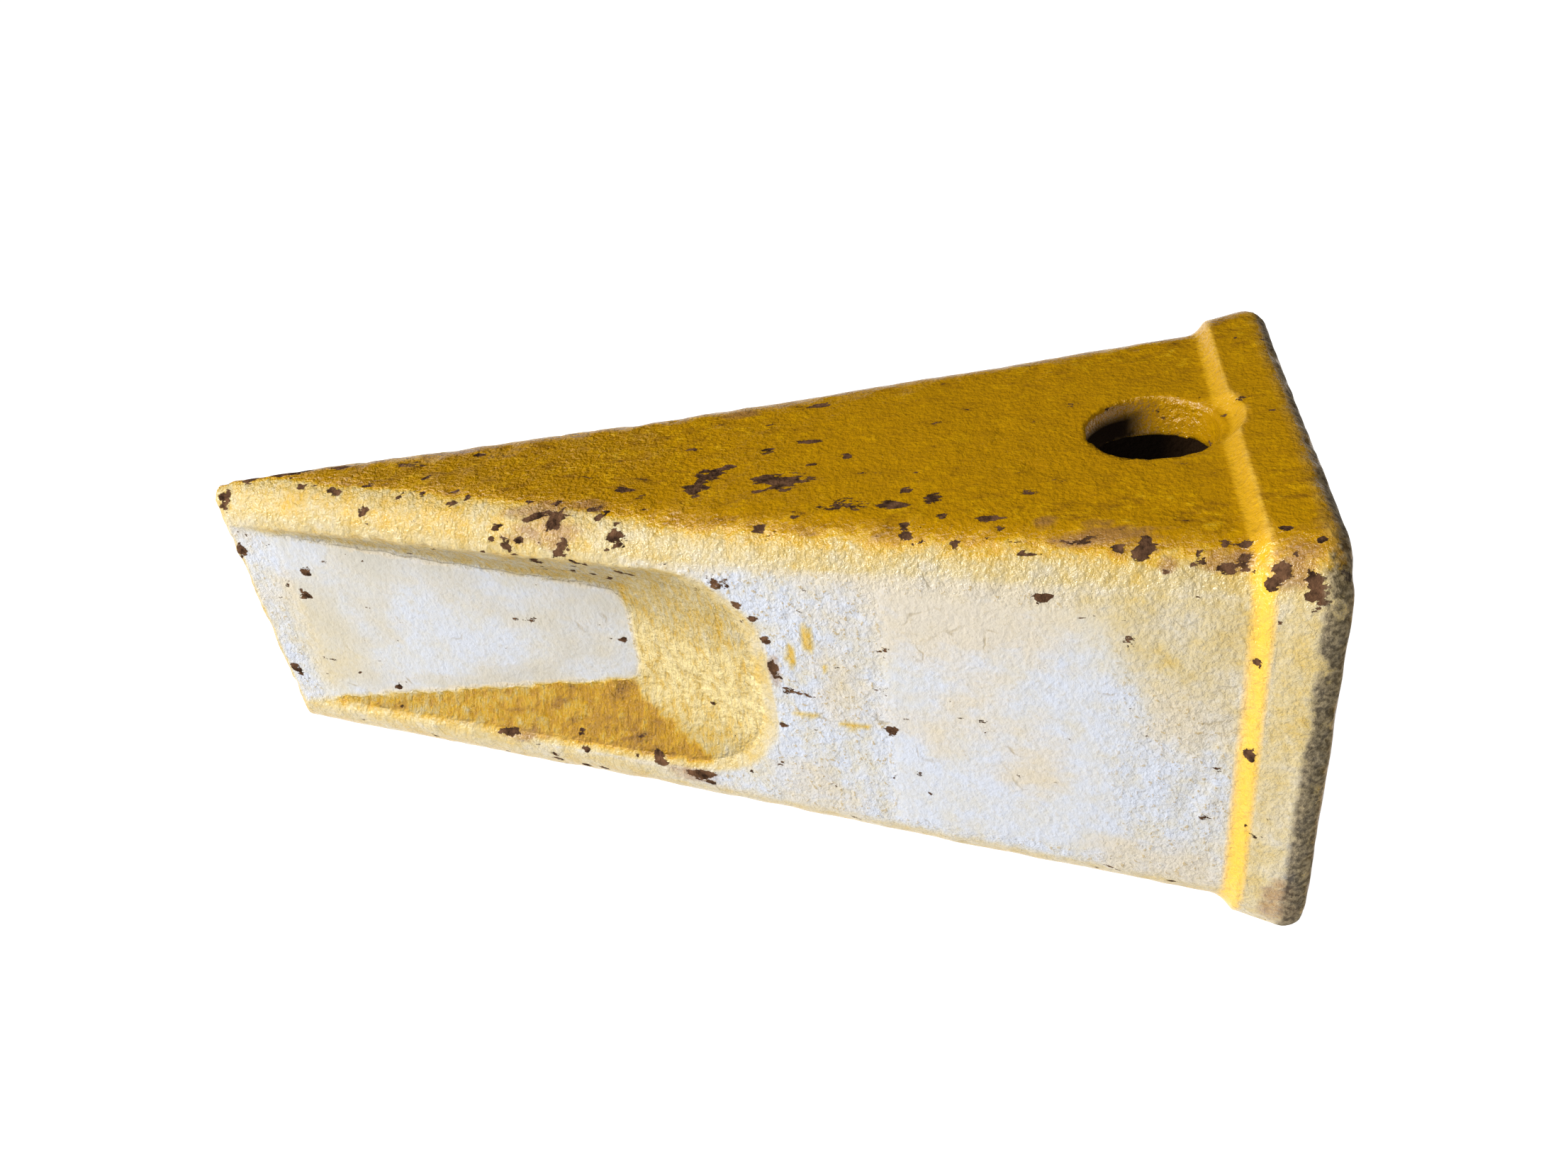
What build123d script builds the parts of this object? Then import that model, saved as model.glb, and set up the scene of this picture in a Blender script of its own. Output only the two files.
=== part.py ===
# Bucket tooth: one steel casting that slides over the nose of an adapter and is
# held there by a pin through both of its side walls.
#
# Frame, in millimetres: the origin is the centre of the pin bore. +X runs back to
# the open end, so the cutting tip is at the far -X end. +Z runs along the pin, and
# -Y looks out of the face with the scoop. The tooth lies on its -Z flank.
# The faces are the two broad sides across Y, the flanks those across Z.

import os
from math import radians, tan

from build123d import *

# Length along the tooth
length = 240.0                # tip to rear rim
pin_to_rear = 27.7            # pin axis forward of the rear rim
bend_from_rear = 125.0        # where the flanks stop flaring and the faces steepen

# Wedge body, at the rear plane, at the bend and at the tip
rear_height = 108.2
rear_width = 86.2
bend_height = 60.2
tip_height = 9.8
wedge_width = 76.0            # the same from the tip to the bend
body_corner_radius = 11.2     # along its four long edges
nose_flat = 1.4               # left between the rounded edges of the nose
bend_blend_length = 8.0       # in which the wedge's section turns into the rear body's

# Collar, the raised band round the open end
collar_length = 13.1          # band behind the top of its ramp
ramp_length = 3.0             # slanted front shoulder, along the tooth
ramp_drop = 3.2               # and across it, from the band to inside the body
face_rise_at_ramp = 1.6       # how far the band stands above the body
face_rise_at_rear = 3.4
flank_rise_at_ramp = 2.5
flank_rise_at_rear = 3.3
collar_corner_radius = body_corner_radius + 1.0
ramp_root_radius = 4.0
ramp_crest_radius = 1.2
rear_rim_radius = 4.0

# Pin bore through both flanks
bore_radius = 12.5
bore_chamfer = 0.8
bore_shoulder_gap = 2.0       # clear ring kept between the bore and the collar
bore_relief_angle = 35.0      # how far the collar leans away from that ring

# Scoop in the -Y face
scoop_end_from_rear = 100.8   # where its end wall runs out in the face
scoop_floor_end_from_rear = 138.5
scoop_floor_at_tip = 4.7      # height of its floor above the mid-plane
scoop_floor_at_end = 15.5
scoop_rail_width = 11.0       # left beside the scoop at the tip
scoop_floor_end_width = 25.4
scoop_wall_angle = 51.0       # lean of the side walls, from square to the floor
scoop_floor_corner_radius = 7.0
scoop_mouth_corner_radius = 21.0
scoop_root_radius = 8.0       # rounding between its floor and its walls
scoop_end_shift = 1.8         # its rear end lies this far off centre, towards +Z
scoop_cut_past = 8.0          # its cutting solid runs this far past tip and face

# Socket for the adapter nose
socket_to_scoop = 30.5        # solid from the socket's end to the scoop's floor
socket_flat_length = 22.0     # parallel stabilising flats at its front end
flank_wall = 9.1
face_wall_at_mouth = 8.1
face_wall_at_end = 12.4
socket_corner_radius = 7.5
socket_end_radius = 5.0       # rounding between its end wall and its sides
socket_lip_radius = 2.0

# Places along X, worked out from the lengths above
rear_x = pin_to_rear
tip_x = rear_x - length
bend_x = rear_x - bend_from_rear
wedge_rear_x = bend_x - bend_blend_length
ramp_top_x = rear_x - collar_length
ramp_front_x = ramp_top_x - ramp_length
scoop_end_x = rear_x - scoop_end_from_rear
scoop_floor_end_x = rear_x - scoop_floor_end_from_rear
socket_end_x = scoop_floor_end_x + socket_to_scoop
socket_flat_x = socket_end_x + socket_flat_length


def between(x, x1, value1, x2, value2):
    """The value at x on the straight line through two known points."""
    return value1 + (value2 - value1) * (x - x1) / (x2 - x1)


def body_size(x, off_faces=0.0, off_flanks=0.0):
    """Height and width of the wedge body at x, with its faces and flanks moved outwards."""
    rear = (rear_x, rear_height, rear_width)
    bend = (bend_x, bend_height, wedge_width)
    tip = (tip_x, tip_height, wedge_width)
    behind, ahead = (rear, bend) if x > bend_x else (bend, tip)
    height, width = [between(x, behind[0], behind[i], ahead[0], ahead[i]) for i in (1, 2)]
    return height + 2 * off_faces, width + 2 * off_flanks


def long_edges(edges):
    """Those edges that run along the tooth."""
    return edges.filter_by(lambda edge: abs(edge.tangent_at(0).X) > 0.5)


def tapered_block(front_x, front_size, back_x, back_size, corner_radius):
    """A block whose four flat sides taper along X, with its long edges rounded.

    Each size is a height across Y and a width across Z.
    """
    with BuildPart() as block:
        for i, plane in enumerate((Plane.XY, Plane.XZ)):
            with BuildSketch(plane):
                with BuildLine():
                    Polyline(
                        (front_x, front_size[i] / 2),
                        (back_x, back_size[i] / 2),
                        (back_x, -back_size[i] / 2),
                        (front_x, -front_size[i] / 2),
                        close=True,
                    )
                make_face()
            extrude(amount=length, both=True, mode=(Mode.ADD, Mode.INTERSECT)[i])
        fillet(long_edges(block.edges()), corner_radius)
    return block.part


def edges_at(edges, x):
    """Those edges that lie in the plane across the tooth at x."""
    return edges.filter_by_position(Axis.X, x - 0.01, x + 0.01)


def edges_between(edges, x1, x2):
    """Those edges whose ends both lie between two planes across the tooth."""
    return edges.filter_by(lambda edge: all(x1 < vertex.X < x2 for vertex in edge.vertices()))


# The scoop's floor, which climbs from the tip, and its depth where its end wall runs out
scoop_run = scoop_floor_end_x - tip_x
scoop_climb = scoop_floor_at_end - scoop_floor_at_tip
scoop_floor = Plane(
    origin=(tip_x, -scoop_floor_at_tip, 0),
    x_dir=(scoop_run, -scoop_climb, scoop_end_shift),
    z_dir=(-scoop_climb, -scoop_run, 0),
)
floor_carried_on = between(
    scoop_end_x, tip_x, scoop_floor_at_tip, scoop_floor_end_x, scoop_floor_at_end
)
scoop_depth = body_size(scoop_end_x)[0] / 2 - floor_carried_on


def scoop_outline(height):
    """The scoop's outline at this height above its floor, from ahead of the tip."""
    start = -scoop_cut_past
    end = between(height, 0, scoop_run, scoop_depth, scoop_end_x - tip_x)
    tip_half = wedge_width / 2 - scoop_rail_width
    spread = height * tan(radians(scoop_wall_angle))
    start_half, end_half = [
        between(along, 0, tip_half, scoop_run, scoop_floor_end_width / 2) + spread
        for along in (start, end)
    ]
    radius = between(height, 0, scoop_floor_corner_radius, scoop_depth, scoop_mouth_corner_radius)
    with BuildSketch(scoop_floor.offset(height)) as profile:
        with BuildLine():
            Polyline(
                (start, start_half),
                (end, end_half),
                (end, -end_half),
                (start, -start_half),
                close=True,
            )
        make_face()
        fillet(profile.vertices().group_by(Axis.X)[-1], radius)
    return profile.sketch


# The scoop as a solid to cut away: its walls lean out and its end wall is a ramp
with BuildPart() as scoop_cut:
    loft(sections=[scoop_outline(0), scoop_outline(scoop_depth + scoop_cut_past)], ruled=True)
    floor_face = scoop_cut.faces().sort_by(Axis(scoop_floor.origin, scoop_floor.z_dir))[0]
    fillet(floor_face.edges(), scoop_root_radius)


# The wedge: what two halves share, each with one sloping face whose long edges are
# rounded, so that near the tip the roundings run into each other
wedge_rear_height = body_size(wedge_rear_x)[0]
with BuildPart() as wedge:
    with BuildSketch(Plane.XY):
        with BuildLine():
            Polyline(
                (tip_x, tip_height / 2),
                (wedge_rear_x, wedge_rear_height / 2),
                (wedge_rear_x, -wedge_rear_height),
                (tip_x, -wedge_rear_height),
                close=True,
            )
        make_face()
    extrude(amount=wedge_width / 2, both=True)
    sloping_face = wedge.faces().sort_by(Axis.Y)[-1]
    fillet(long_edges(sloping_face.edges()), body_corner_radius)
    mirror(about=Plane.XZ, mode=Mode.INTERSECT)

    # Its profile again, with the nose rounded
    with BuildSketch(Plane.XY) as profile:
        with BuildLine():
            Polyline(
                (tip_x, tip_height / 2),
                (wedge_rear_x, wedge_rear_height / 2),
                (wedge_rear_x, -wedge_rear_height / 2),
                (tip_x, -tip_height / 2),
                close=True,
            )
        make_face()
        fillet(profile.vertices().group_by(Axis.X)[0], (tip_height - nose_flat) / 2)
    extrude(amount=wedge_width / 2, both=True, mode=Mode.INTERSECT)


# The collar: a tapered block with its front edges cut back to a ramp with a rounded crest
band_start = body_size(ramp_top_x, face_rise_at_ramp, flank_rise_at_ramp)
band_end = body_size(rear_x, face_rise_at_rear, flank_rise_at_rear)
band_front = [
    between(ramp_front_x, ramp_top_x, start, rear_x, end)
    for start, end in zip(band_start, band_end)
]
with BuildPart() as collar:
    add(tapered_block(ramp_front_x, band_front, rear_x, band_end, collar_corner_radius))
    front_face = collar.faces().sort_by(Axis.X)[0]
    chamfer(front_face.edges(), ramp_drop, ramp_length, reference=front_face)
    crest = edges_between(collar.edges(), ramp_front_x + ramp_length / 2, rear_x - collar_length / 2)
    fillet(crest, ramp_crest_radius)


# The space for the adapter nose: a taper, then parallel flats
socket_mouth = body_size(rear_x, -face_wall_at_mouth, -flank_wall)
socket_end = body_size(socket_end_x, -face_wall_at_end, -flank_wall)
with BuildPart() as socket_cut:
    add(tapered_block(socket_flat_x, socket_end, rear_x, socket_mouth, socket_corner_radius))
    extrude(socket_cut.faces().sort_by(Axis.X)[0], amount=socket_flat_length)
    fillet(edges_at(socket_cut.edges(), socket_end_x), socket_end_radius)


with BuildPart() as tooth_casting:
    # Rear body, wedge, and the blend between their sections
    add(tapered_block(bend_x, body_size(bend_x), rear_x, body_size(rear_x), body_corner_radius))
    bend_section = tooth_casting.faces().sort_by(Axis.X)[0]
    add(wedge.part)
    loft(sections=[wedge.faces().sort_by(Axis.X)[-1], bend_section], ruled=True)

    # Collar, rounded along the new edges where its ramp meets the body, and at its rim
    add(collar.part)
    fillet(tooth_casting.edges(Select.NEW), ramp_root_radius)
    fillet(edges_at(tooth_casting.edges(), rear_x), rear_rim_radius)

    # Scoop in the face
    add(scoop_cut.part, mode=Mode.SUBTRACT)

    # Socket
    add(socket_cut.part, mode=Mode.SUBTRACT)
    rear_face = tooth_casting.faces().sort_by(Axis.X)[-1]
    fillet(rear_face.inner_wires()[0].edges(), socket_lip_radius)

    # Pin bore, turned about Z: straight wall, chamfer, then the collar's relief
    flank_z = body_size(0)[1] / 2
    relief_top_z = rear_width / 2 + flank_rise_at_rear
    relief_radius = bore_radius + bore_shoulder_gap
    relief_lean = (relief_top_z - flank_z) * tan(radians(bore_relief_angle))
    upper_half = [
        (0, relief_top_z),
        (relief_radius + relief_lean, relief_top_z),
        (relief_radius, flank_z),
        (bore_radius + bore_chamfer, flank_z),
        (bore_radius, flank_z - bore_chamfer),
    ]
    lower_half = [(radius, -z) for radius, z in reversed(upper_half)]
    with BuildSketch(Plane.XZ):
        with BuildLine():
            Polyline(*upper_half, *lower_half, close=True)
        make_face()
    revolve(axis=Axis.Z, mode=Mode.SUBTRACT)

tooth_casting.part.label = "tooth_casting"

os.makedirs("parts", exist_ok=True)
export_step(tooth_casting.part, "parts/tooth_casting.step")
print("tooth_casting", round(tooth_casting.part.volume), "mm3")
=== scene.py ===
# %% [markdown]
# # A painted cast-steel bucket tooth
# The tooth is one casting: a wedge with a scoop in its digging face, a raised collar
# round its open end, a hole for the retaining pin and a tapered socket inside. The CAD
# solid is smooth and crisp, as a drawing is. What makes it look real is its skin:
# sand-cast roughness under a glossy golden enamel, chipped and rusty in places, with
# painted glare, painted highlights and painted shade laid into its colour.
# The skin could be sculpted by hand or painted on a picture. Here it is computed from
# noise and from the shape itself, so it covers every side and can be changed later.

# %% Load the frame
import math
import random

import bmesh
import bpy
import numpy as np
from mathutils import Matrix, Vector, kdtree, noise
from mathutils.bvhtree import BVHTree


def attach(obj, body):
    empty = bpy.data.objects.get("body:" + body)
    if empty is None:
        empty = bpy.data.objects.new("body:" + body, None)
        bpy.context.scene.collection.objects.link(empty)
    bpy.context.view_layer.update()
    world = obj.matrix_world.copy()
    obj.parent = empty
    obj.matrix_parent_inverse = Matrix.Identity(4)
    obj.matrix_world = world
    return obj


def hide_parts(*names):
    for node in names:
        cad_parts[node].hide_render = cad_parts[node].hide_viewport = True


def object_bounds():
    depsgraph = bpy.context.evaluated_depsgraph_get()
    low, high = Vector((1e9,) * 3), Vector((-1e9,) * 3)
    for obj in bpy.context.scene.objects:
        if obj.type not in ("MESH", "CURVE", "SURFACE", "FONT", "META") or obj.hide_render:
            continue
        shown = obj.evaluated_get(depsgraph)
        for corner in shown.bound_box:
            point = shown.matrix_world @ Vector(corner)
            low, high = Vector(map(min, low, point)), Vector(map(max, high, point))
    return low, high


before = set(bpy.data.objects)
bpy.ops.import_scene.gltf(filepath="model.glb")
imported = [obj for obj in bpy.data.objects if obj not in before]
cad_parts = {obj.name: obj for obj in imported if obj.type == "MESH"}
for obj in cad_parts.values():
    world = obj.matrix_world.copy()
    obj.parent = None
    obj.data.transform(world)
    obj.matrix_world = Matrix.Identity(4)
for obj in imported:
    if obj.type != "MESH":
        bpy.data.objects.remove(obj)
cad_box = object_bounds()
cad_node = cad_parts["tooth_casting"]
MM = 0.001
print("CAD box, mm:", [[round(value / MM, 1) for value in corner] for corner in cad_box])

# %% [markdown]
# Places on the tooth come from its box and from the few sizes that the CAD model is
# built on. They could be measured on the mesh, but a named size says what it is. The
# origin is the centre of the pin hole, +X runs to the open end, -Y looks out of the
# face with the scoop, and the tooth lies on its -Z flank.

# %% Places on the tooth
tip_x, rear_x = cad_box[0].x, cad_box[1].x
rear_half_width = cad_box[1].z
tip_half_height = 4.9 * MM
tip_half_width = 38.0 * MM
bend_half_height = 30.1 * MM
body_rear_half_height = 54.1 * MM
bend_x = rear_x - 125 * MM
socket_end_x = rear_x - 108 * MM
scoop_end_x = rear_x - 100.8 * MM
scoop_half_width = 30 * MM
rail_z = 26.5 * MM  # the rails beside the scoop lie farther out than this
pad_front_x, pad_rear_x, pad_half_width = -53 * MM, 0.0, 31 * MM
shoulder_x = -2 * MM  # where the collar's sloping shoulder begins
collar_top_x = rear_x - 12 * MM
socket_side_z = 30 * MM  # the socket's side wall at the pin hole
hole_reach = 14.2 * MM  # the pin hole's radius with its rim, and a little more
print("tip to rear rim:", round((rear_x - tip_x) / MM, 1), "mm")

# %% [markdown]
# ## The casting's mesh
# The real casting is one skin with no seams. The CAD mesh has long thin triangles,
# which can't carry small dents, and subdividing them would only give smaller slivers.
# So a copy of it is merged into a closed shell and remeshed with voxels a little over
# a millimetre wide, which gives an even net of small squares. Its points are then moved
# to the nearest place of the CAD surface, so flat faces stay true and edges stay put.

# %% Remesh a copy of the solid
VOXEL = 1.1 * MM


def closed_copy(source, name):
    """A copy of a CAD node's mesh as an object of its own, with its doubles merged."""
    shell = bmesh.new()
    shell.from_mesh(source.data)
    bmesh.ops.remove_doubles(shell, verts=shell.verts, dist=0.005 * MM)
    mesh = bpy.data.meshes.new(name)
    shell.to_mesh(mesh)
    shell.free()
    copy = bpy.data.objects.new(name, mesh)
    bpy.context.scene.collection.objects.link(copy)
    return copy


casting = closed_copy(cad_node, "cast_tooth")
remesh = casting.modifiers.new("even net", "REMESH")
remesh.mode = "VOXEL"
remesh.voxel_size = VOXEL
modified = casting.evaluated_get(bpy.context.evaluated_depsgraph_get())
remeshed = bpy.data.meshes.new_from_object(modified)
casting.modifiers.clear()
casting.data = remeshed
remeshed.name = "cast_tooth"
solid = bmesh.new()
solid.from_mesh(cad_node.data)
cad_surface = BVHTree.FromBMesh(solid)
solid.free()
for vertex in remeshed.vertices:
    vertex.co = cad_surface.find_nearest(vertex.co)[0]
remeshed.update()
print("net:", len(remeshed.vertices), "points,", len(remeshed.polygons), "faces")

# %% [markdown]
# Dents and paint differ from place to place. They could be painted by hand as vertex
# colours, but here every point of the net gets numbers, kept in arrays, because there
# are tens of thousands of points. A soft mask says how far a point belongs to a region:
# 1 inside it, 0 outside, and a smooth step between.

# %% Helpers for arrays


def read_points(mesh):
    """The places and normals of a mesh's points, as two arrays."""
    places = np.zeros(len(mesh.vertices) * 3, np.float32)
    normals = np.zeros(len(mesh.vertices) * 3, np.float32)
    mesh.vertices.foreach_get("co", places)
    mesh.vertices.foreach_get("normal", normals)
    return places.reshape(-1, 3).astype(float), normals.reshape(-1, 3).astype(float)


def step(value, start, end):
    """0 before start, 1 after end, and smooth between them."""
    share = np.clip((value - start) / (end - start), 0, 1)
    return share * share * (3 - 2 * share)


def blur(values, edges, rounds):
    """Values at the points, averaged with their neighbours this many times."""
    counts = np.bincount(edges.ravel(), minlength=len(values)).astype(float)
    for _ in range(rounds):
        total = np.zeros_like(values)
        np.add.at(total, edges[:, 0], values[edges[:, 1]])
        np.add.at(total, edges[:, 1], values[edges[:, 0]])
        mean = total / (counts if values.ndim == 1 else counts[:, None])
        values = 0.5 * values + 0.5 * mean
    return values


# %% Points and edges of the net
places, normals = read_points(remeshed)
edges = np.zeros(len(remeshed.edges) * 2, np.int64)
remeshed.edges.foreach_get("vertices", edges)
edges = edges.reshape(-1, 2)
x, y, z = places.T
print("array of places:", places.shape, " array of edges:", edges.shape)

# %% Masks of the socket and the scoop


def body_half_height(x):
    """Half the body's height across its faces at x."""
    front_rise = (bend_half_height - tip_half_height) / (bend_x - tip_x)
    rear_rise = (body_rear_half_height - bend_half_height) / (rear_x - bend_x)
    front = tip_half_height + front_rise * (x - tip_x)
    behind = bend_half_height + rear_rise * (x - bend_x)
    return np.where(x < bend_x, front, behind)


wall = 6 * MM  # the socket lies at least this far inside the body
below_skin = body_half_height(x) - np.abs(y)
in_socket = (
    step(x, socket_end_x - 2 * MM, socket_end_x)
    * step(below_skin, wall, wall + 1 * MM)
    * step(rear_half_width - 3 * MM - np.abs(z), wall - 1 * MM, wall)
)
on_face = step(-normals[:, 1], 0.55, 0.85) * (1 - in_socket)
scoop_depth = np.maximum(body_half_height(x) + y, 0) * (1 - in_socket)
between_rails = step(scoop_half_width - np.abs(z), 0, 1 * MM)
in_scoop = step(scoop_depth, 0.6 * MM, 2.0 * MM) * between_rails
in_scoop = in_scoop * (y < 0) * (x < scoop_end_x + 3 * MM)
scoop_floor = in_scoop * step(-normals[:, 1], 0.95, 0.98)
print("socket points:", int(in_socket.sum()), " scoop points:", int(in_scoop.sum()))

# %% Masks of the pad and the flanks
# The pad is the smooth bare patch between the scoop and the collar
on_pad = step(x, pad_front_x, pad_front_x + 2 * MM) * step(pad_rear_x - x, 0, 14 * MM) * on_face
on_pad = on_pad * step(pad_half_width - np.abs(z), 0, 3 * MM)
on_flank = step(-np.abs(normals[:, 1]), -0.8, -0.5) * (1 - in_scoop)
print("pad points:", int(on_pad.sum()), " flank points:", int(on_flank.sum()))

# %% [markdown]
# ## The cast skin
# Sand-cast steel is never flat. It waves a little over a few centimetres, has shallow
# lumps and pores some millimetres wide, and under the paint a finer grain. A bump map
# alone would leave the outline straight, so the waves and lumps are made in the mesh,
# where they catch the light and show in outline. Only the finest grain is left to the
# material. Everything is pressed inwards, so nothing stands out of the CAD box.

# %% How smooth the paint is
# The scoop's floor and the bare pad are smooth, and its walls are the roughest places
smooth_paint = np.maximum(0.70 * scoop_floor, 0.6 * on_pad)
smooth_paint = smooth_paint - 0.5 * in_scoop * (1 - scoop_floor)
# The flanks are smooth round the pin hole and rough toward the tip
toward_tip = step(-x, 50 * MM, 130 * MM)
smooth_paint = smooth_paint + on_flank * (0.35 - 0.6 * toward_tip)
rough = 1 - smooth_paint
print("smoothness from", round(smooth_paint.min(), 2), "to", round(smooth_paint.max(), 2))

# %% Waves, lumps and peel


def noise_at(places, size, seed):
    """Smooth noise of about this size at each place, from -1 to 1."""
    offset = Vector((seed * 7.3, seed * 3.1, seed * 5.7))
    return np.array([noise.noise(Vector(place) / size + offset) for place in places])


waves = noise_at(places, 24 * MM, 1)
lumps = noise_at(places, 8 * MM, 2)
peel = noise_at(places, 3.6 * MM, 3)
# Groups of cast lumps lie ahead of the collar: a centre and a reach, in mm
lump_groups = (
    ((-32, 1, 41), 8), ((-24, 29, 41), 5), ((-18, 24, 41), 4), ((0, 35, 42), 5),
    ((-23, -13, 41), 3), ((-14, -27, 41), 5), ((3, -34, 42), 4), ((9, -50, 6), 6),
    ((6, -50, -10), 6),
)
lumpy = np.zeros(len(places))
for centre, reach in lump_groups:
    away = np.linalg.norm(places / MM - np.array(centre), axis=1)
    lumpy = np.maximum(lumpy, step(reach - away, 0, reach / 2))
depth = (
    0.22 * MM * (waves - 1)
    + 0.15 * MM * (lumps - 0.6) * rough
    + (0.17 + 0.4 * lumpy) * MM * (peel - 0.5) * rough
    - 0.15 * MM * (1 - on_pad) * on_face
)
depth = np.minimum(depth, 0)
print("skin, mm: deepest", round(depth.min() / MM, 2), "mean", round(depth.mean() / MM, 2))

# %% [markdown]
# Pores, dents and knocked edges are what sand, stones and rough handling leave. They
# could be cut with booleans, but hundreds of cuts are slow and fragile, so each is a
# small bowl pressed into the net. They are scattered by chance, with a fixed seed, and
# more thickly where the real tooth has them: along the tip, the rims and over the faces.

# %% Dents
random.seed(41)
tree = kdtree.KDTree(len(places))
for index, place in enumerate(places):
    tree.insert(place, index)
tree.balance()
nearly_flat = blur(normals, edges, 8)
sharpness = 1 - np.linalg.norm(nearly_flat, axis=1)


def press(centre, radius, depth_here):
    """Press a bowl into the skin at a place, all in millimetres."""
    for _, index, distance in tree.find_range(Vector(centre) * MM, radius * MM):
        share = 1 - (distance / (radius * MM)) ** 2
        depth[index] -= depth_here * MM * share * share


def scatter(count, chosen, radii, depths):
    """Press this many bowls at points picked by chance from those chosen."""
    picks = np.flatnonzero(chosen)
    for _ in range(count):
        radius = radii[0] + (radii[1] - radii[0]) * random.random() ** 2
        press(places[random.choice(picks)] / MM, radius, random.uniform(*depths))


# %% Press the dents in
outside = in_socket < 0.2
coarse = outside & (smooth_paint < 0.3)
scatter(70, outside & (x < tip_x + 4 * MM), (1.2, 3.0), (0.1, 0.45))
scatter(280, outside & (sharpness > 0.04), (1.2, 3.2), (0.08, 0.45))
scatter(500, coarse, (1.2, 2.4), (0.06, 0.26))
scatter(160, coarse, (1.1, 1.5), (0.25, 0.45))
scatter(40, in_scoop > 0.6, (1.2, 2.0), (0.05, 0.2))
press((-212, 0, 38), 5, 0.7)  # the tip's upper corner is knocked off
print("dents pressed; deepest point now", round(depth.min() / MM, 2), "mm")

# %% Move the points
places = places + normals * depth[:, None]
remeshed.vertices.foreach_set("co", places.astype(np.float32).ravel())
remeshed.update()
for polygon in remeshed.polygons:
    polygon.use_smooth = True
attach(casting, "root")
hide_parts("tooth_casting")
print("casting:", [round(side / MM, 1) for side in casting.dimensions], "mm")

# %% [markdown]
# ## The paint, and painted glare
# The paint is golden on the flanks. Painted glare is laid into its colour elsewhere:
# straw on the rounded edges, and white over the digging face, as if light glared off
# it. Separate materials would meet in hard lines. Instead one value says how far each
# point has gone from golden, 0, to white painted glare, 1. It follows from the way the
# surface faces and from where it lies, so it holds on every side.

# %% From golden to painted glare
x, y, z = places.T
facing = blur(normals, edges, 1)
flatness = np.abs(facing[:, 1])  # 0 on a flank, 1 on a face
# Painted glare by the way the surface faces: straw on rounded edges, white on faces
behind_scoop = step(x, -125 * MM, -75 * MM)
edge_glare = 0.45 + 0.13 * behind_scoop
painted_glare = edge_glare * step(flatness, 0.26 + 0.06 * behind_scoop, 0.40 + 0.50 * behind_scoop)
painted_glare = painted_glare + (0.96 - edge_glare) * step(flatness, 0.90, 0.975)
on_rail = step(-x, 92 * MM, 112 * MM) * (np.abs(z) > rail_z) * (in_scoop < 0.3) * (y < 0)
painted_glare = np.minimum(painted_glare, 1 - 0.44 * on_rail)
print("mean paleness:", round(painted_glare.mean(), 3))

# %% Inside the scoop
# Painted glare by facing: little on the lower wall, more on the end and upper walls
scooped = in_scoop > 0.3
lower_wall = scooped & (facing[:, 2] > 0.25)
end_wall = scooped & (facing[:, 0] < -0.30)
upper_wall = scooped & (facing[:, 2] < -0.25)
upper_root = upper_wall & (flatness > 0.90)
painted_glare = np.where(lower_wall, 0.26 - 0.2 * step(x, -165 * MM, -115 * MM), painted_glare)
painted_glare = np.where(end_wall, 0.46, painted_glare)
painted_glare = np.where(upper_wall, 0.50, painted_glare)
painted_glare = np.where(upper_root, 0.76, painted_glare)
# The painted glare is weaker, tan, at the lower front of the scoop
from_tan_patch = np.hypot((x / MM + 198) / 14, (z / MM + 7) / 17)
painted_glare = painted_glare - 0.24 * scoop_floor * step(-from_tan_patch, -1.2, -0.6)
print("points on the end wall:", int(end_wall.sum()))

# %% Toward the collar, and round the pin
# Toward the collar, its top and its upper corner the painted glare fades to cream
cream = step(x - 1.15 * (33 * MM - z), -34 * MM, -12 * MM) * (y < 0)
painted_glare = painted_glare - 0.33 * cream * step(painted_glare, 0.7, 0.9)
on_collar = step(x, collar_top_x - 1.5 * MM, collar_top_x) * (1 - in_socket)
painted_glare = painted_glare - 0.25 * on_collar * step(painted_glare, 0.6, 0.9)
# Bore walls facing the open end, and its depths, get painted shade; the rest is golden
from_pin = np.hypot(x, y)
in_bore = step(hole_reach - from_pin, 0, 1 * MM)
in_bore = in_bore * step(np.abs(z), socket_side_z - 2 * MM, socket_side_z)
painted_glare = blur(painted_glare * (1 - in_bore), edges, 1)
bore_wall_unshaded = np.maximum(step(normals[:, 0], 0.35, -0.1), step(np.abs(z), 37 * MM, 39.5 * MM))
# Painted shade: those bore walls take the socket's dark steel colour
in_socket = np.maximum(in_socket * (1 - in_bore), in_bore * (1 - bore_wall_unshaded))
deep_bore_shade = in_bore * step(-np.abs(z), -socket_side_z - 3.5 * MM, -socket_side_z)
in_socket = np.maximum(in_socket, 0.9 * deep_bore_shade)
print("points in the bores:", int(in_bore.sum()))

# %% Collar, rim and mottling
# Painted highlight on the collar's shoulder; painted shade on the rim, widest at corners
# Painted highlight on the collar's shoulder, where it faces the tip, most toward the faces
shoulder_highlight = step(-normals[:, 0], 0.32, 0.46) * step(x, shoulder_x, shoulder_x + 6 * MM)
shoulder_highlight = shoulder_highlight * (1 - in_socket) * (1 - in_bore)
shoulder_highlight = shoulder_highlight * (0.45 + 0.55 * step(np.abs(y), 42 * MM, 50 * MM))
rim_width = (2.0 + 2.6 * step(np.abs(y), 44 * MM, 52 * MM)) * MM
rim_start = rear_x - rim_width
painted_rim_shade = step(x, rim_start - 2 * MM, rim_start + 1 * MM) * (1 - in_socket)
painted_rim_shade = painted_rim_shade * (1 - 0.72 * step(normals[:, 0], 0.75, 0.97))
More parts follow.
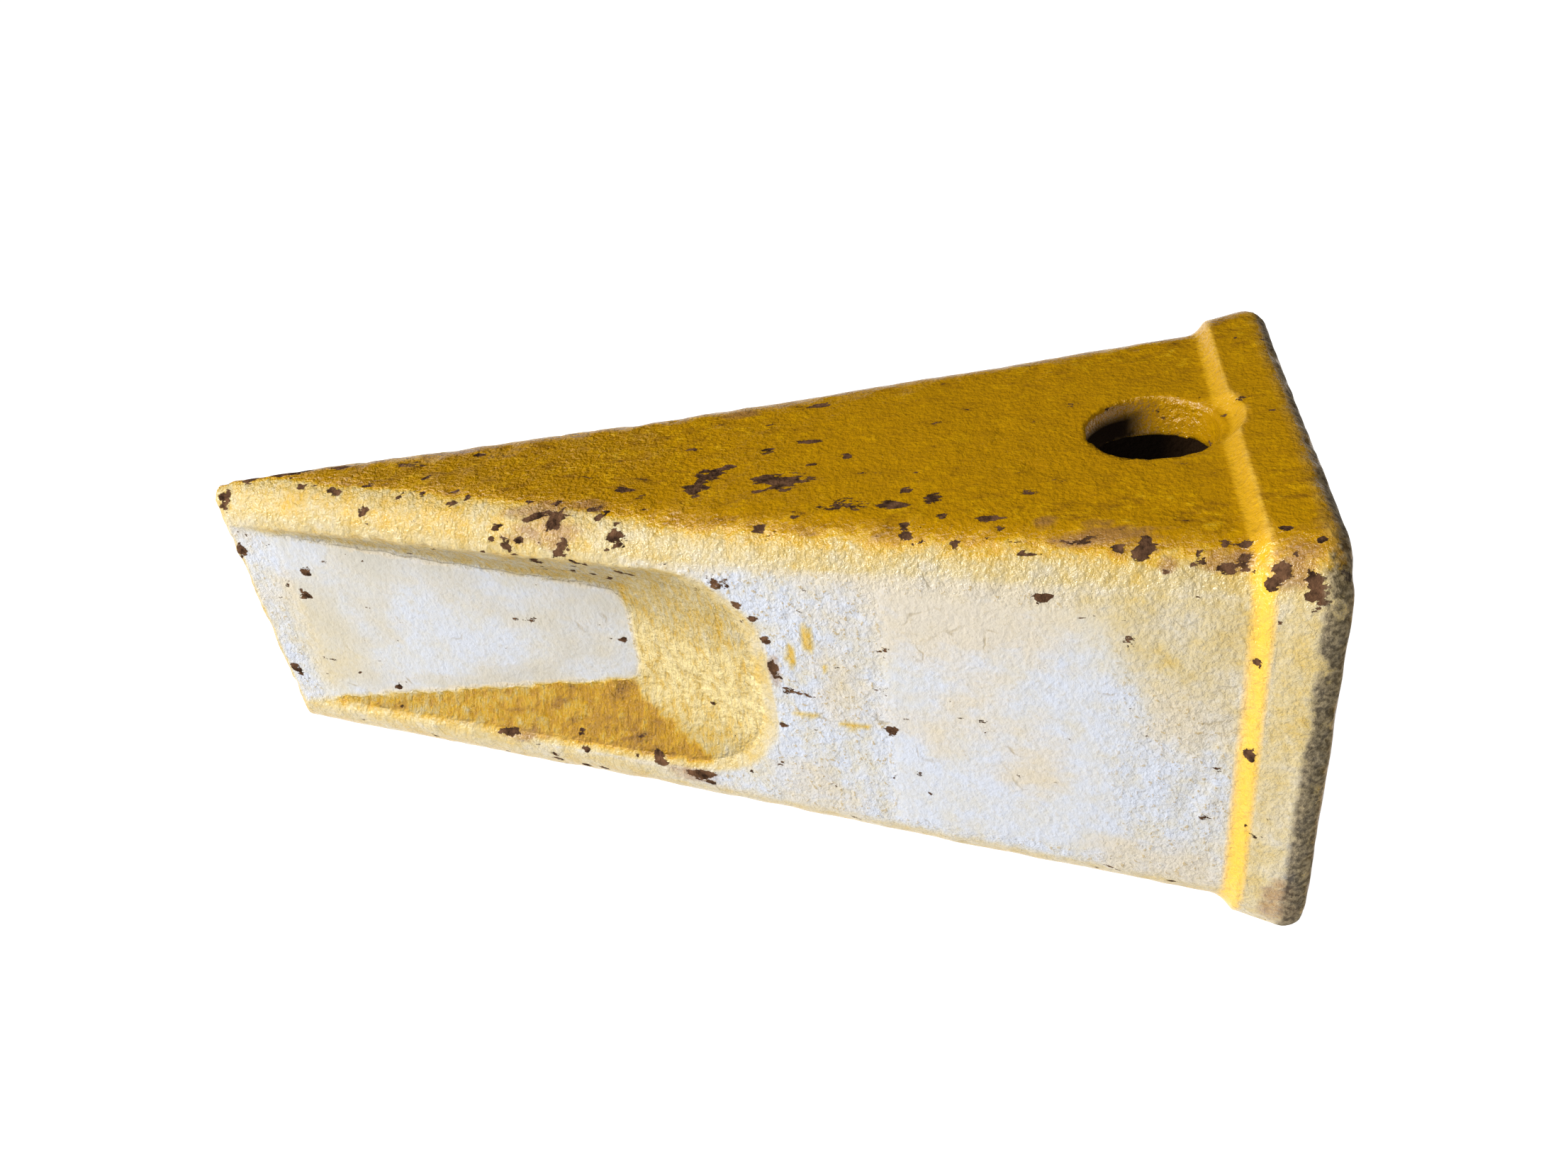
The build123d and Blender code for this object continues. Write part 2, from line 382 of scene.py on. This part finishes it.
# The golden paint is even round the pin hole, and mottled toward the tip and the edge
mottle = 0.4 + 0.6 * np.maximum(step(-x, 50 * MM, 110 * MM), step(np.abs(y), 18 * MM, 32 * MM))
mottle = mottle * (1 - 0.45 * np.maximum(scoop_floor, on_pad))
print("points with grime:", int((painted_rim_shade > 0.5).sum()))

# %% [markdown]
# Rust shows where the enamel has chipped off. Chips could come from noise alone, but
# then none would lie where the real ones do. So the larger chips and the brown stains
# are placed from the photograph, each as a centre, how far it reaches along the
# tooth and how far across, in millimetres. The material gives them their ragged edges.

# %% Larger chips and stains
flank_chips = [
    ((-91, -11, 38), 3.5, 6), ((-88, -7, 38), 4, 2), ((-74, -12, 39), 7, 4),
    ((-78, 1, 39), 3, 2.2), ((-94, 5, 38), 3.5, 1.8), ((-86, -5, 38), 3.4, 1.6),
    ((-70, 4, 39), 3.4, 1.4), ((-70, 22, 39), 2.6, 1.5), ((-100, -15, 38), 4, 1.2),
    ((-59, -24, 40), 6, 3.6), ((-49, -24, 40), 3.6, 2.6), ((-42, -23, 40), 3, 2),
    ((-47, -19, 40), 2, 2), ((-45, -13, 40), 2.6, 1.4), ((-24, -23, 41), 2.8, 1.8),
    ((-40, -30, 40), 1.8, 1.5), ((-31, -32, 41), 3.4, 2.6), ((-61, -3, 39), 1.8, 2),
    ((-4, -41, 41), 1.5, 2), ((-24, -40, 38), 3.4, 1), ((-203, 0, 37), 4, 2),
    ((-192, 1, 37), 6, 2), ((-180, 2, 38), 2.4, 1.6), ((-163, 2, 38), 6, 1.2),
]
edge_chips = [
    ((-134, -20, 34), 3, 1.4), ((-132, -22, 30), 2, 1.6), ((-118, -24, 32), 2, 1.6),
    ((-126, -19, 35), 2.0, 1.0), ((-120, -25, 30), 3.4, 1.2), ((-105, -26, 33), 3, 2.0),
    ((-169, -11, 34), 1.6, 1.6), ((-101, -27, 33), 2, 1.3), ((4, -45, 40), 1.8, 1.7),
    ((8, -47, 39), 1.8, 1.5), ((16, -50, 41), 1.8, 2), ((21, -52, 41), 1.8, 1.8),
    ((21, -55, 38), 2.0, 3), ((17, -44, 45), 2.0, 1.3), ((-8, 10, 41), 1.8, 1.2),
    ((14, 3, 42), 1.6, 1.3),
]
face_chips = [
    ((-193, -7, 15), 2, 2), ((-196, -6, 8), 2, 1.6), ((-114, -15, 0), 1.3, 1.4),
    ((-179, -8, -19), 1.3, 1.3), ((-209, -5, 20), 1.8, 2.6), ((-208, -5, -16), 2, 3),
    ((-209, -4, 33), 3, 4), ((-85, -32, 27), 4, 2.2), ((-82, -33, 22), 2, 1.6),
    ((-78, -34, 19), 1.6, 1.4), ((-76, -34, 14), 1.4, 1.5), ((-75, -34, 7), 1.3, 3.6),
    ((-75, -34, -8), 2, 1.3), ((-73, -35, 2), 1.8, 1.3), ((-52, -39, -5), 1.7, 1.3),
    ((-147, -18, -25), 6, 1.7), ((-140, -21, -26), 2.8, 1.9), ((-135, -21, -30), 2, 2.6),
    ((-126, -23, -25), 1.6, 1.3), ((-113, -26, -24), 1.3, 1.2), ((-107, -28, -25), 2.4, 1.4),
    ((-97, -30, -27), 5, 2.4), ((22, -56, -18), 1.2, 1.4), ((-22, -44, 31), 3, 0.8),
    ((-16, -46, 28), 3, 0.9), ((-7, -47, 24), 1.8, 2.2),
]
stain_places = [
    ((-122, -18, 37), 17, 3.2), ((-122, -22, 33), 16, 4), ((-11, -39, 41), 16, 3),
    ((-21, -34, 41), 3, 3.4), ((-12, -36, 41), 4, 3), ((-1, -45, 39), 2.4, 2.4),
    ((8, -46, 40), 7, 3), ((18, -50, 42), 6, 6), ((-88, 20, 38), 6, 3), ((-152, 8, 38), 8, 2.5),
    ((-75, -34, 7), 2, 6), ((-145, -19, -25), 13, 2.5), ((-100, -29, -27), 12, 3),
    ((22, -55, -33), 5, 9),
]
marks_placed = len(flank_chips) + len(edge_chips) + len(face_chips)
print("chips placed:", marks_placed, " stains placed:", len(stain_places))

# %% [markdown]
# Many small chips lie between the large ones, most of them along the edges. Placing
# them one by one would be slow work, so they are scattered by chance over chosen bands:
# how many, where, how large in millimetres, and how long they are for their width.

# %% Helpers for chips and stains


def patches_at(marks):
    """1 at the centre of each of these marks, fading to 0 a little past its reach."""
    value = np.zeros(len(places))
    for centre, along, across in marks:
        away = places / MM - np.array(centre)
        spread = (away[:, 0] / along) ** 2 + (away[:, 1] ** 2 + away[:, 2] ** 2) / across**2
        value = np.maximum(value, 1 - spread / 1.6)
    return np.clip(value, 0, 1)


def specks(count, chosen, sizes, stretch=1.0):
    """Small chips at points picked by chance from those chosen."""
    marks = []
    for _ in range(count):
        size = sizes[0] + (sizes[1] - sizes[0]) * random.random() ** 2
        marks.append((places[random.choice(np.flatnonzero(chosen))] / MM, size * stretch, size))
    return marks


# %% Small chips
upper_edge = outside & (z > 20 * MM) & (y < 0)
lower_edge = outside & (z < -20 * MM) & (y < 0)
from_worn_part = np.abs(x + 122 * MM)  # the edges are worn most beside the scoop
small_chips = (
    specks(34, upper_edge & (from_worn_part < 18 * MM) & (abs(flatness - 0.62) < 0.28),
           (0.9, 1.7), 1.3)
    + specks(24, upper_edge & (x < -100 * MM) & (abs(flatness - 0.33) < 0.16), (0.8, 1.2), 1.4)
    + specks(22, upper_edge & (x > -75 * MM) & (abs(flatness - 0.38) < 0.22), (0.9, 1.5), 1.5)
    + specks(24, outside & (abs(z) > 34 * MM) & (x < -60 * MM) & (flatness < 0.2), (0.8, 1.3), 1.8)
    + specks(24, lower_edge & (from_worn_part < 30 * MM) & (flatness < 0.9), (1.0, 2.0), 1.4)
    + specks(26, outside & (x > rear_x - 14 * MM) & (flatness < 0.95), (0.9, 1.8))
    + specks(20, outside & (x < tip_x + 5 * MM), (0.9, 1.8))
)
chipped = patches_at(flank_chips + edge_chips + face_chips + small_chips)
stained = patches_at(stain_places)
turning = upper_edge * step(-np.abs(flatness - 0.30), -0.14, -0.06) * (x < -60 * MM)
stained = np.maximum(stained, 0.45 * turning)
print("small chips:", len(small_chips))

# %% [markdown]
# The outer edges get a faint painted highlight.
# Blender's Pointiness could find the edges, but only in one renderer, so they are found
# here: a point that stands out of a blurred copy of the net lies on an edge.

# %% Painted highlights on the edges, and scrapes
smooth_places = blur(places, edges, 14)
bulge = ((places - smooth_places) * normals).sum(1)
painted_highlight = 0.2 * step(bulge, 0.10 * MM, 0.6 * MM) * step(from_pin, 15 * MM, 18 * MM)
# The end wall of the scoop gets a painted highlight, strongest down its middle
end_wall_glint = step(-np.abs(z + 4 * MM), -17 * MM, -4 * MM) * step(x, -126 * MM, -114 * MM)
painted_highlight = np.maximum(painted_highlight, blur(end_wall * (0.12 + 0.80 * end_wall_glint), edges, 2))
# Yellow shows again where scrapes cross the painted glare
scraped = patches_at([
    ((-67, -36, 16), 1.3, 3.6), ((-71, -35, 11), 1.1, 2.8), ((-64, -37, 9), 1.0, 1.8),
    ((-69, -35, -4), 4, 1), ((-60, -37, -5), 4, 1),
])
scraped = scraped * (0.7 + 0.6 * noise_at(places, 2.2 * MM, 5))
painted_glare = painted_glare - 0.6 * step(scraped, 0.15, 0.4) * step(painted_glare, 0.5, 0.8)
print("worn points:", int((painted_highlight > 0.1).sum()), " scraped points:", int((scraped > 0.3).sum()))

# %% Keep the values on the mesh
kept = {
    "painted_glare": painted_glare, "chipped": chipped, "stained": stained, "painted_highlight": painted_highlight, "painted_rim_shade": painted_rim_shade,
    "ramp": shoulder_highlight, "socket": in_socket, "smooth": smooth_paint, "mottle": mottle,
}
for name, values in kept.items():
    attribute = remeshed.attributes.new(name, "FLOAT", "POINT")
    attribute.data.foreach_set("value", values.astype(np.float32))
    print(name, "covers", round(100 * values.mean(), 1), "% of the net")

# %% [markdown]
# ## The enamel
# The paint is a golden alkyd enamel, thick and glossy, sprayed over the raw casting.
# A plain glossy yellow would look like plastic. The real one is pigment in a clear
# binder, so it is modelled as a coloured base under a coat that reflects like varnish.
# To the eye that gives a deep colour under a sharp, wet shine. The values above choose
# the colour, painted glare, highlights and shade among them, and noise of a few real
# sizes breaks each zone up, as brushed dirt does.

# %% Material helpers
TIMES = {"operation": "MULTIPLY"}
COLOURS = {"data_type": "RGBA"}


def linear(hex_colour):
    """An sRGB hex colour as the linear values that Blender mixes."""
    values = [int(hex_colour[i:i + 2], 16) / 255 for i in (1, 3, 5)]
    return [v / 12.92 if v <= 0.04045 else ((v + 0.055) / 1.055) ** 2.4 for v in values] + [1]


def add(kind, inputs, **settings):
    """Add a node, set its properties, set or link its inputs, and return its output."""
    node = graph.nodes.new("ShaderNode" + kind)
    for key, value in settings.items():
        setattr(node, key, value)
    for key, value in inputs.items():
        if isinstance(value, bpy.types.NodeSocket):
            graph.links.new(value, node.inputs[key])
        else:
            node.inputs[key].default_value = value
    return [socket for socket in node.outputs if socket.enabled][0] if node.outputs else node


# %% Start the enamel, with its noises
enamel = bpy.data.materials.new("golden enamel over cast steel")
enamel.use_nodes = True
graph = enamel.node_tree
graph.nodes.clear()
here = add("TexCoord", {}).node.outputs["Object"]
zone = {name: add("Attribute", {}, attribute_name=name).node.outputs["Fac"] for name in kept}

# Each noise has a real size. Sand grains are about 0.3 mm wide, which is too fine to
# show here, so the finest noise is drawn at 1.1 mm.
clouds = add("TexNoise", {"Vector": here, "Scale": 1 / (30 * MM), "Detail": 2})
patches = add("TexNoise", {"Vector": here, "Scale": 1 / (9 * MM), "Detail": 4})
speckle = add("TexNoise", {"Vector": here, "Scale": 1 / (2.6 * MM), "Detail": 4, "Roughness": 0.65})
fine = add("TexNoise", {"Vector": here, "Scale": 1 / (1.1 * MM), "Detail": 3, "Roughness": 0.6})
along = add("Mapping", {"Vector": here, "Scale": (0.5, 1, 1)})
ragged = add("TexNoise", {"Vector": along, "Scale": 1 / (3.4 * MM), "Detail": 6, "Roughness": 0.66})
across = add("Mapping", {"Vector": here, "Scale": (1.7, 0.55, 0.55)})
streaks = add("TexNoise", {
    "Vector": across, "Scale": 1 / (2.0 * MM), "Detail": 5, "Roughness": 0.7,
})
print("noises and zones:", len(graph.nodes), "nodes")

# %% [markdown]
# The painted glare is uneven, so a straight blend from golden to white would look like
# an airbrush. Noise first shifts the level of painted glare up and down, and then one
# colour ramp turns it into colour. The ramp has every colour on the way, dark to light.

# %% How much painted glare lies here
shift = add("MapRange", {
    "Value": patches, "From Min": 0.3, "From Max": 0.7, "To Min": -0.12, "To Max": 0.09,
})
fine_shift = add("MapRange", {
    "Value": speckle, "From Min": 0.3, "From Max": 0.7, "To Min": -0.24, "To Max": 0.22,
})
calm = add("MapRange", {
    "Value": zone["painted_glare"], "From Min": 0.3, "From Max": 0.5, "To Min": 1, "To Max": 0.5,
})
fine_shift = add("Math", {0: fine_shift, 1: calm}, **TIMES)
shift = add("Math", {0: add("Math", {0: shift, 1: fine_shift}), 1: zone["mottle"]}, **TIMES)
# Rough streaks run down the scoop's side walls and end wall
on_wall = add("MapRange", {
    "Value": zone["smooth"], "From Min": -0.5, "From Max": -0.3, "To Min": 1, "To Max": 0,
})
streak_shift = add("MapRange", {
    "Value": streaks, "From Min": 0.35, "From Max": 0.65, "To Min": -0.16, "To Max": 0.18,
})
streak_shift = add("Math", {0: streak_shift, 1: on_wall}, **TIMES)
shift = add("Math", {0: shift, 1: streak_shift})
glare_level = add("Math", {0: zone["painted_glare"], 1: shift})
print("paleness uses", len(graph.nodes), "nodes so far")

# %% The colours, from the golden paint to white painted glare
golden_to_glare_stops = (
    (0.0, "#A87A04"), (0.12, "#BA8B04"), (0.26, "#BE9620"), (0.46, "#B89F5E"),
    (0.58, "#BAA87A"), (0.70, "#BBAE90"), (0.84, "#BAB5A9"), (1.0, "#B8BCC6"),
)
painted = add("ValToRGB", {0: glare_level})
ramp_colours = painted.node.color_ramp.elements
while len(ramp_colours) < len(golden_to_glare_stops):
    ramp_colours.new(0.5)
for element, (position, hex_colour) in zip(ramp_colours, golden_to_glare_stops):
    element.position = position
    element.color = linear(hex_colour)
print("colours from golden to white_glare:", len(golden_to_glare_stops))

# %% [markdown]
# On the real tooth nothing is one clean colour. Grime has settled in the golden paint,
# the painted glare has cream clouds and flecks of yellow, and the scoop's floor has a
# thin grey film. Each could be a layer of its own material. A mix over the paint with
# its own mask is simpler, and the masks share the noises above.

# %% Grime in the gold, and cream in the painted glare
brown_share = add("MapRange", {"Value": ragged, "From Min": 0.52, "From Max": 0.64, "To Max": 0.75})
in_gold = add("MapRange", {
    "Value": zone["painted_glare"], "From Min": 0.15, "From Max": 0.4, "To Min": 1, "To Max": 0,
})
brown_share = add("Math", {0: brown_share, 1: in_gold}, **TIMES)
brown_share = add("Math", {0: brown_share, 1: zone["mottle"]}, **TIMES)
painted = add("Mix", {0: brown_share, 6: painted, 7: linear("#80580E")}, **COLOURS)

ragged_clouds = add("Math", {0: clouds, 1: add("Math", {0: ragged, 1: 0.35}, **TIMES)})
cream_share = add("MapRange", {
    "Value": ragged_clouds, "From Min": 0.60, "From Max": 0.76, "To Max": 0.75,
})
glare_zone = add("MapRange", {"Value": zone["painted_glare"], "From Min": 0.6, "From Max": 0.8})
cream_share = add("Math", {0: cream_share, 1: glare_zone}, **TIMES)
painted = add("Mix", {0: cream_share, 6: painted, 7: linear("#C0B296")}, **COLOURS)
print("with grime and cream:", len(graph.nodes), "nodes")

# %% Flecks and a grey film
# Tiny flecks of the yellow break the painted glare, mostly where it is rough
fleck = add("MapRange", {"Value": fine, "From Min": 0.60, "From Max": 0.66, "To Max": 0.7})
fleck = add("Math", {0: fleck, 1: glare_zone}, **TIMES)
rough_share = add("MapRange", {
    "Value": zone["smooth"], "From Max": 0.6, "To Min": 1.0, "To Max": 0.25,
})
fleck = add("Math", {0: fleck, 1: rough_share}, **TIMES)
painted = add("Mix", {0: fleck, 6: painted, 7: linear("#A38A50")}, **COLOURS)
# A thin grey film lies over part of the scoop's floor
film = add("MapRange", {
    "Value": clouds, "From Min": 0.44, "From Max": 0.60, "To Min": 0.15, "To Max": 0.6,
})
on_floor = add("MapRange", {"Value": zone["smooth"], "From Min": 0.62, "From Max": 0.69})
film = add("Math", {0: film, 1: on_floor}, **TIMES)
painted = add("Mix", {0: film, 6: painted, 7: linear("#A7A69F")}, **COLOURS)
print("with flecks and film:", len(graph.nodes), "nodes")

# %% Painted highlights on the collar's shoulder, the edges and the scoop's end wall
# Painted highlight on the collar's shoulder
shoulder_highlight_share = add("Math", {0: zone["ramp"], 1: 0.85}, **TIMES)
painted = add("Mix", {0: shoulder_highlight_share, 6: painted, 7: linear("#E0AE28")}, **COLOURS)
# Painted highlight along the edges and down the scoop's end wall, broken up by noise
highlight_share = add("MapRange", {
    "Value": speckle, "From Min": 0.38, "From Max": 0.60, "To Min": 0.2, "To Max": 1.0,
})
highlight_share = add("Math", {0: highlight_share, 1: zone["painted_highlight"]}, **TIMES)
painted = add("Mix", {0: highlight_share, 6: painted, 7: linear("#E4CF92")}, **COLOURS)
print("paint finished:", len(graph.nodes), "nodes")

# %% [markdown]
# Stains are rust that has washed over the paint, so they only tint it. A chip goes down
# to the steel, with a sharp torn edge. A soft round mask would look like a spray dot, so
# ragged noise is added to each chip's value, and a narrow step cuts the sum. The same
# noise alone makes loose specks, more of them where the paint is stained.

# %% Stains and chips
stain_mask = add("Math", {0: zone["stained"], 1: ragged}, **TIMES)
stain_share = add("MapRange", {
    "Value": stain_mask, "From Min": 0.26, "From Max": 0.46, "To Max": 0.75,
})
colour = add("Mix", {0: stain_share, 6: painted, 7: linear("#8A6336")}, **COLOURS)
tear = add("MapRange", {
    "Value": ragged, "From Min": 0.3, "From Max": 0.7, "To Min": -0.95, "To Max": 0.55,
})
torn = add("Math", {0: zone["chipped"], 1: tear})
bare = add("MapRange", {"Value": torn, "From Min": 0.46, "From Max": 0.50})
loosened = add("Math", {0: ragged, 1: add("Math", {0: zone["stained"], 1: 0.13}, **TIMES)})
loose = add("MapRange", {"Value": loosened, "From Min": 0.73, "From Max": 0.74})
bare = add("Math", {0: bare, 1: loose}, operation="MAXIMUM")
rust = add("MapRange", {"Value": speckle, "From Min": 0.35, "From Max": 0.65})
rust = add("Mix", {0: rust, 6: linear("#2B1E16"), 7: linear("#674A35")}, **COLOURS)
colour = add("Mix", {0: bare, 6: colour, 7: rust}, **COLOURS)
print("with stains and chips:", len(graph.nodes), "nodes")

# %% Painted shade on the rear rim
# The rim's rounding is darkened with painted shade, broken up by noise
rim_shade_mask = add("Mix", {0: 0.45, 2: patches, 3: speckle}, data_type="FLOAT")
rim_shade_mask = add("MapRange", {
    "Value": rim_shade_mask, "From Min": 0.40, "From Max": 0.54, "To Min": 0.25,
})
rim_shade_mask = add("Math", {0: zone["painted_rim_shade"], 1: rim_shade_mask}, **TIMES)
rim_shade_share = add("MapRange", {
    "Value": rim_shade_mask, "From Min": 0.1, "From Max": 0.6, "To Max": 0.88,
})
rim_shade_colour = add("MapRange", {"Value": fine, "From Min": 0.40, "From Max": 0.66})
rim_shade_colour = add("Mix", {0: rim_shade_colour, 6: linear("#3A3129"), 7: linear("#938468")}, **COLOURS)
colour = add("Mix", {0: rim_shade_share, 6: colour, 7: rim_shade_colour}, **COLOURS)
print("with grime:", len(graph.nodes), "nodes")

# %% [markdown]
# Old paint has hairline cracks, shown most where the painted glare lies. Drawing them by
# hand would take long, and the borders between Voronoi cells run like cracks once noise
# has bent the space that they lie in. Only a few are kept, in patches. Inside, the
# socket is raw rusty steel, darkened deeper in with painted shade.

# %% Hairline cracks
wobble = add("TexNoise", {"Vector": here, "Scale": 1 / (5 * MM)}).node.outputs["Color"]
bent = add("VectorMath", {0: wobble, "Scale": 6 * MM}, operation="SCALE")
bent = add("VectorMath", {0: here, 1: bent}, operation="ADD")
cells = add("TexVoronoi", {"Vector": bent, "Scale": 1 / (13 * MM)}, feature="DISTANCE_TO_EDGE")
crack = add("MapRange", {
    "Value": cells, "From Min": 0.008, "From Max": 0.028, "To Min": 1, "To Max": 0,
})
in_patches = add("MapRange", {"Value": patches, "From Min": 0.60, "From Max": 0.70})
crack = add("Math", {0: crack, 1: in_patches}, **TIMES)
crack = add("Math", {0: crack, 1: add("Math", {0: zone["painted_glare"], 1: 0.6}, **TIMES)}, **TIMES)
colour = add("Mix", {0: crack, 6: colour, 7: linear("#8A7850")}, **COLOURS)
print("with cracks:", len(graph.nodes), "nodes")

# %% Raw steel in the socket, with painted shade deeper in
along_x = add("SeparateXYZ", {0: here})
# Painted shade: the steel darkens to near black deeper in, away from the mouth
to_mouth = add("MapRange", {"Value": along_x, "From Min": 6 * MM, "From Max": 27 * MM})
socket_colour = add("Mix", {0: speckle, 6: linear("#4A3524"), 7: linear("#7A5A3C")}, **COLOURS)
socket_colour = add("Mix", {0: to_mouth, 6: linear("#1A130E"), 7: socket_colour}, **COLOURS)
colour = add("Mix", {0: zone["socket"], 6: colour, 7: socket_colour}, **COLOURS)
print("with raw steel:", len(graph.nodes), "nodes")

# %% [markdown]
# The finest grain is finer than the net's squares, which would need many millions of
# points to hold it, so it is bump: fine grain everywhere, streaks in the scoop, thin
# flakes, and sunk cracks. The coat carries the gloss. It is missing where the steel,
# the painted shade on the rim or the socket shows, and the base under it has no shine
# of its own, so that the gold stays deep.

# %% Grain
grit_share = add("MapRange", {
    "Value": zone["smooth"], "From Min": -0.5, "From Max": 0.0, "To Min": 1.0, "To Max": 0.7,
})
flakes = add("MapRange", {"Value": ragged, "From Min": 0.50, "From Max": 0.52})
flake_patches = add("MapRange", {
    "Value": clouds, "From Min": 0.40, "From Max": 0.60, "To Min": 0.15,
})
flakes = add("Math", {0: flakes, 1: flake_patches}, **TIMES)
grain_height = add("Math", {0: fine, 1: grit_share}, **TIMES)
for layer, height in ((speckle, 0.4), (streaks, on_wall), (flakes, 0.06), (crack, -0.25)):
    grain_height = add("Math", {0: grain_height, 1: add("Math", {0: layer, 1: height}, **TIMES)})
grain_strength = add("MapRange", {
    "Value": zone["smooth"], "From Min": -0.5, "From Max": 0.75, "To Min": 1.0, "To Max": 0.3,
})
grained = add("Bump", {"Height": grain_height, "Distance": 1.3 * MM, "Strength": grain_strength})
chip_edge = add("Bump", {"Height": bare, "Distance": 0.2 * MM, "Normal": grained}, invert=True)
print("with grain:", len(graph.nodes), "nodes")

# %% Gloss, and the finished shader
dull = add("Math", {0: bare, 1: rim_shade_share}, operation="MAXIMUM")
dull = add("Math", {0: dull, 1: zone["socket"]}, operation="MAXIMUM")
coat = add("Math", {0: 1.0, 1: dull}, operation="SUBTRACT")
gloss = add("MapRange", {
    "Value": zone["painted_glare"], "From Min": 0.2, "From Max": 0.9, "To Min": 0.35, "To Max": 0.55,
})
roughness = add("Mix", {0: dull, 2: gloss, 3: 0.85}, data_type="FLOAT")
shader = add("BsdfPrincipled", {
    "Base Color": colour, "Roughness": roughness, "IOR": 1.5, "Normal": chip_edge,
    "Specular IOR Level": 0.0, "Coat Weight": coat, "Coat Roughness": 0.2, "Coat IOR": 1.5,
    "Coat Normal": chip_edge,
})
add("OutputMaterial", {"Surface": shader})
casting.data.materials.clear()
casting.data.materials.append(enamel)
print("enamel:", len(graph.nodes), "nodes")

# %% [markdown]
# ## Floor
# The tooth lies on a white table. Its flank tapers, so it touches the table with the
# collar's edge and the end of the tip. Tilting the tooth would move it off its CAD
# place, so the floor is tilted by about two degrees instead. The paper glows a little,
# as a light table does, so it stays white where the tooth would shade it.

# %% Floor
floor_half_side = 6.0  # metres, far beyond the camera's view
collar_rest = Vector((rear_x - 4 * MM, 0, -rear_half_width))
tip_rest = Vector((tip_x + 4 * MM, 0, -tip_half_width))
floor_tilt = math.atan2(collar_rest.z - tip_rest.z, collar_rest.x - tip_rest.x)
floor_shape = bmesh.new()
bmesh.ops.create_grid(floor_shape, x_segments=1, y_segments=1, size=floor_half_side)
lay = Matrix.Translation(collar_rest) @ Matrix.Rotation(-floor_tilt, 4, "Y")
bmesh.ops.transform(floor_shape, matrix=lay, verts=floor_shape.verts)
floor_mesh = bpy.data.meshes.new("floor")
floor_shape.to_mesh(floor_mesh)
floor_shape.free()
floor = bpy.data.objects.new("floor", floor_mesh)
bpy.context.scene.collection.objects.link(floor)
print("floor tilt:", round(math.degrees(floor_tilt), 2), "degrees")

# %% White paper
# Matt paper scatters light evenly and has no shine of its own
paper = bpy.data.materials.new("white paper")
paper.use_nodes = True
paper_shader = paper.node_tree.nodes["Principled BSDF"]
paper_shader.inputs["Base Color"].default_value = linear("#9A9A9A")
paper_shader.inputs["Roughness"].default_value = 0.9
paper_shader.inputs["Emission Color"].default_value = linear("#FFFFFF")
paper_shader.inputs["Emission Strength"].default_value = 1.02
floor_mesh.materials.append(paper)
print("paper glows at", 1.02, "times white")

# %% [markdown]
# ## Light
# The photograph was taken in soft daylight that comes mostly along the tooth from its
# tip. Sun and sky could copy that, but a studio is easier to steer: one large softbox
# toward the tip, a weak one above, and an almost dark room, which keeps the golden
# flank free of blue reflections.

# %% Softboxes


def softbox(name, place, target, size, power):
    """A square area light that looks at a place."""
    light = bpy.data.lights.new(name, "AREA")
    light.shape = "SQUARE"
    light.size = size
    light.energy = power
    lamp = bpy.data.objects.new(name, light)
    lamp.location = place
    lamp.rotation_mode = "QUATERNION"
    lamp.rotation_quaternion = (Vector(target) - Vector(place)).to_track_quat("-Z", "Y")
    bpy.context.scene.collection.objects.link(lamp)
    return lamp


middle = (cad_box[0] + cad_box[1]) / 2
softbox("key softbox", (-1.3, -0.5, 0.75), middle, 0.6, 34)
softbox("top softbox", (-0.3, -0.5, 1.3), middle, 0.6, 9)
print("softboxes:", len(bpy.data.lights))

# %% Dark room
world = bpy.data.worlds.new("studio")
world.use_nodes = True
room = world.node_tree.nodes["Background"]
room.inputs["Color"].default_value = (0.8, 0.85, 0.9, 1)
room.inputs["Strength"].default_value = 0.015
bpy.context.scene.world = world
bpy.context.scene.view_settings.view_transform = "Standard"
print("room light:", round(room.inputs["Strength"].default_value, 3))

# %% [markdown]
# ## Camera
# The photograph was taken with a phone's wide lens close to the tooth, from its front
# and above, and tilted a little. The view could be set by eye, but a wide lens this
# close bends proportions, so its place and angles were fitted to the outline.

# %% Camera
# The fit gave the camera's place in millimetres and its angles in degrees
camera_place = Vector((-21.917, -224.255, 157.249)) * MM
camera_azimuth = 14.31
camera_elevation = 33.53
camera_roll = -8.63
lens_view = bpy.data.cameras.new("camera")
lens_view.sensor_width = 36
lens_view.lens = 28.0
lens_view.clip_start = 0.01
camera = bpy.data.objects.new("camera", lens_view)
turn = (
    Matrix.Rotation(math.radians(camera_azimuth), 4, "Z")
    @ Matrix.Rotation(math.radians(90 - camera_elevation), 4, "X")
    @ Matrix.Rotation(math.radians(camera_roll), 4, "Z")
)
camera.matrix_world = Matrix.Translation(camera_place) @ turn
bpy.context.scene.collection.objects.link(camera)
bpy.context.scene.camera = camera
print("camera to the tooth's middle:", round((camera_place - middle).length / MM), "mm")
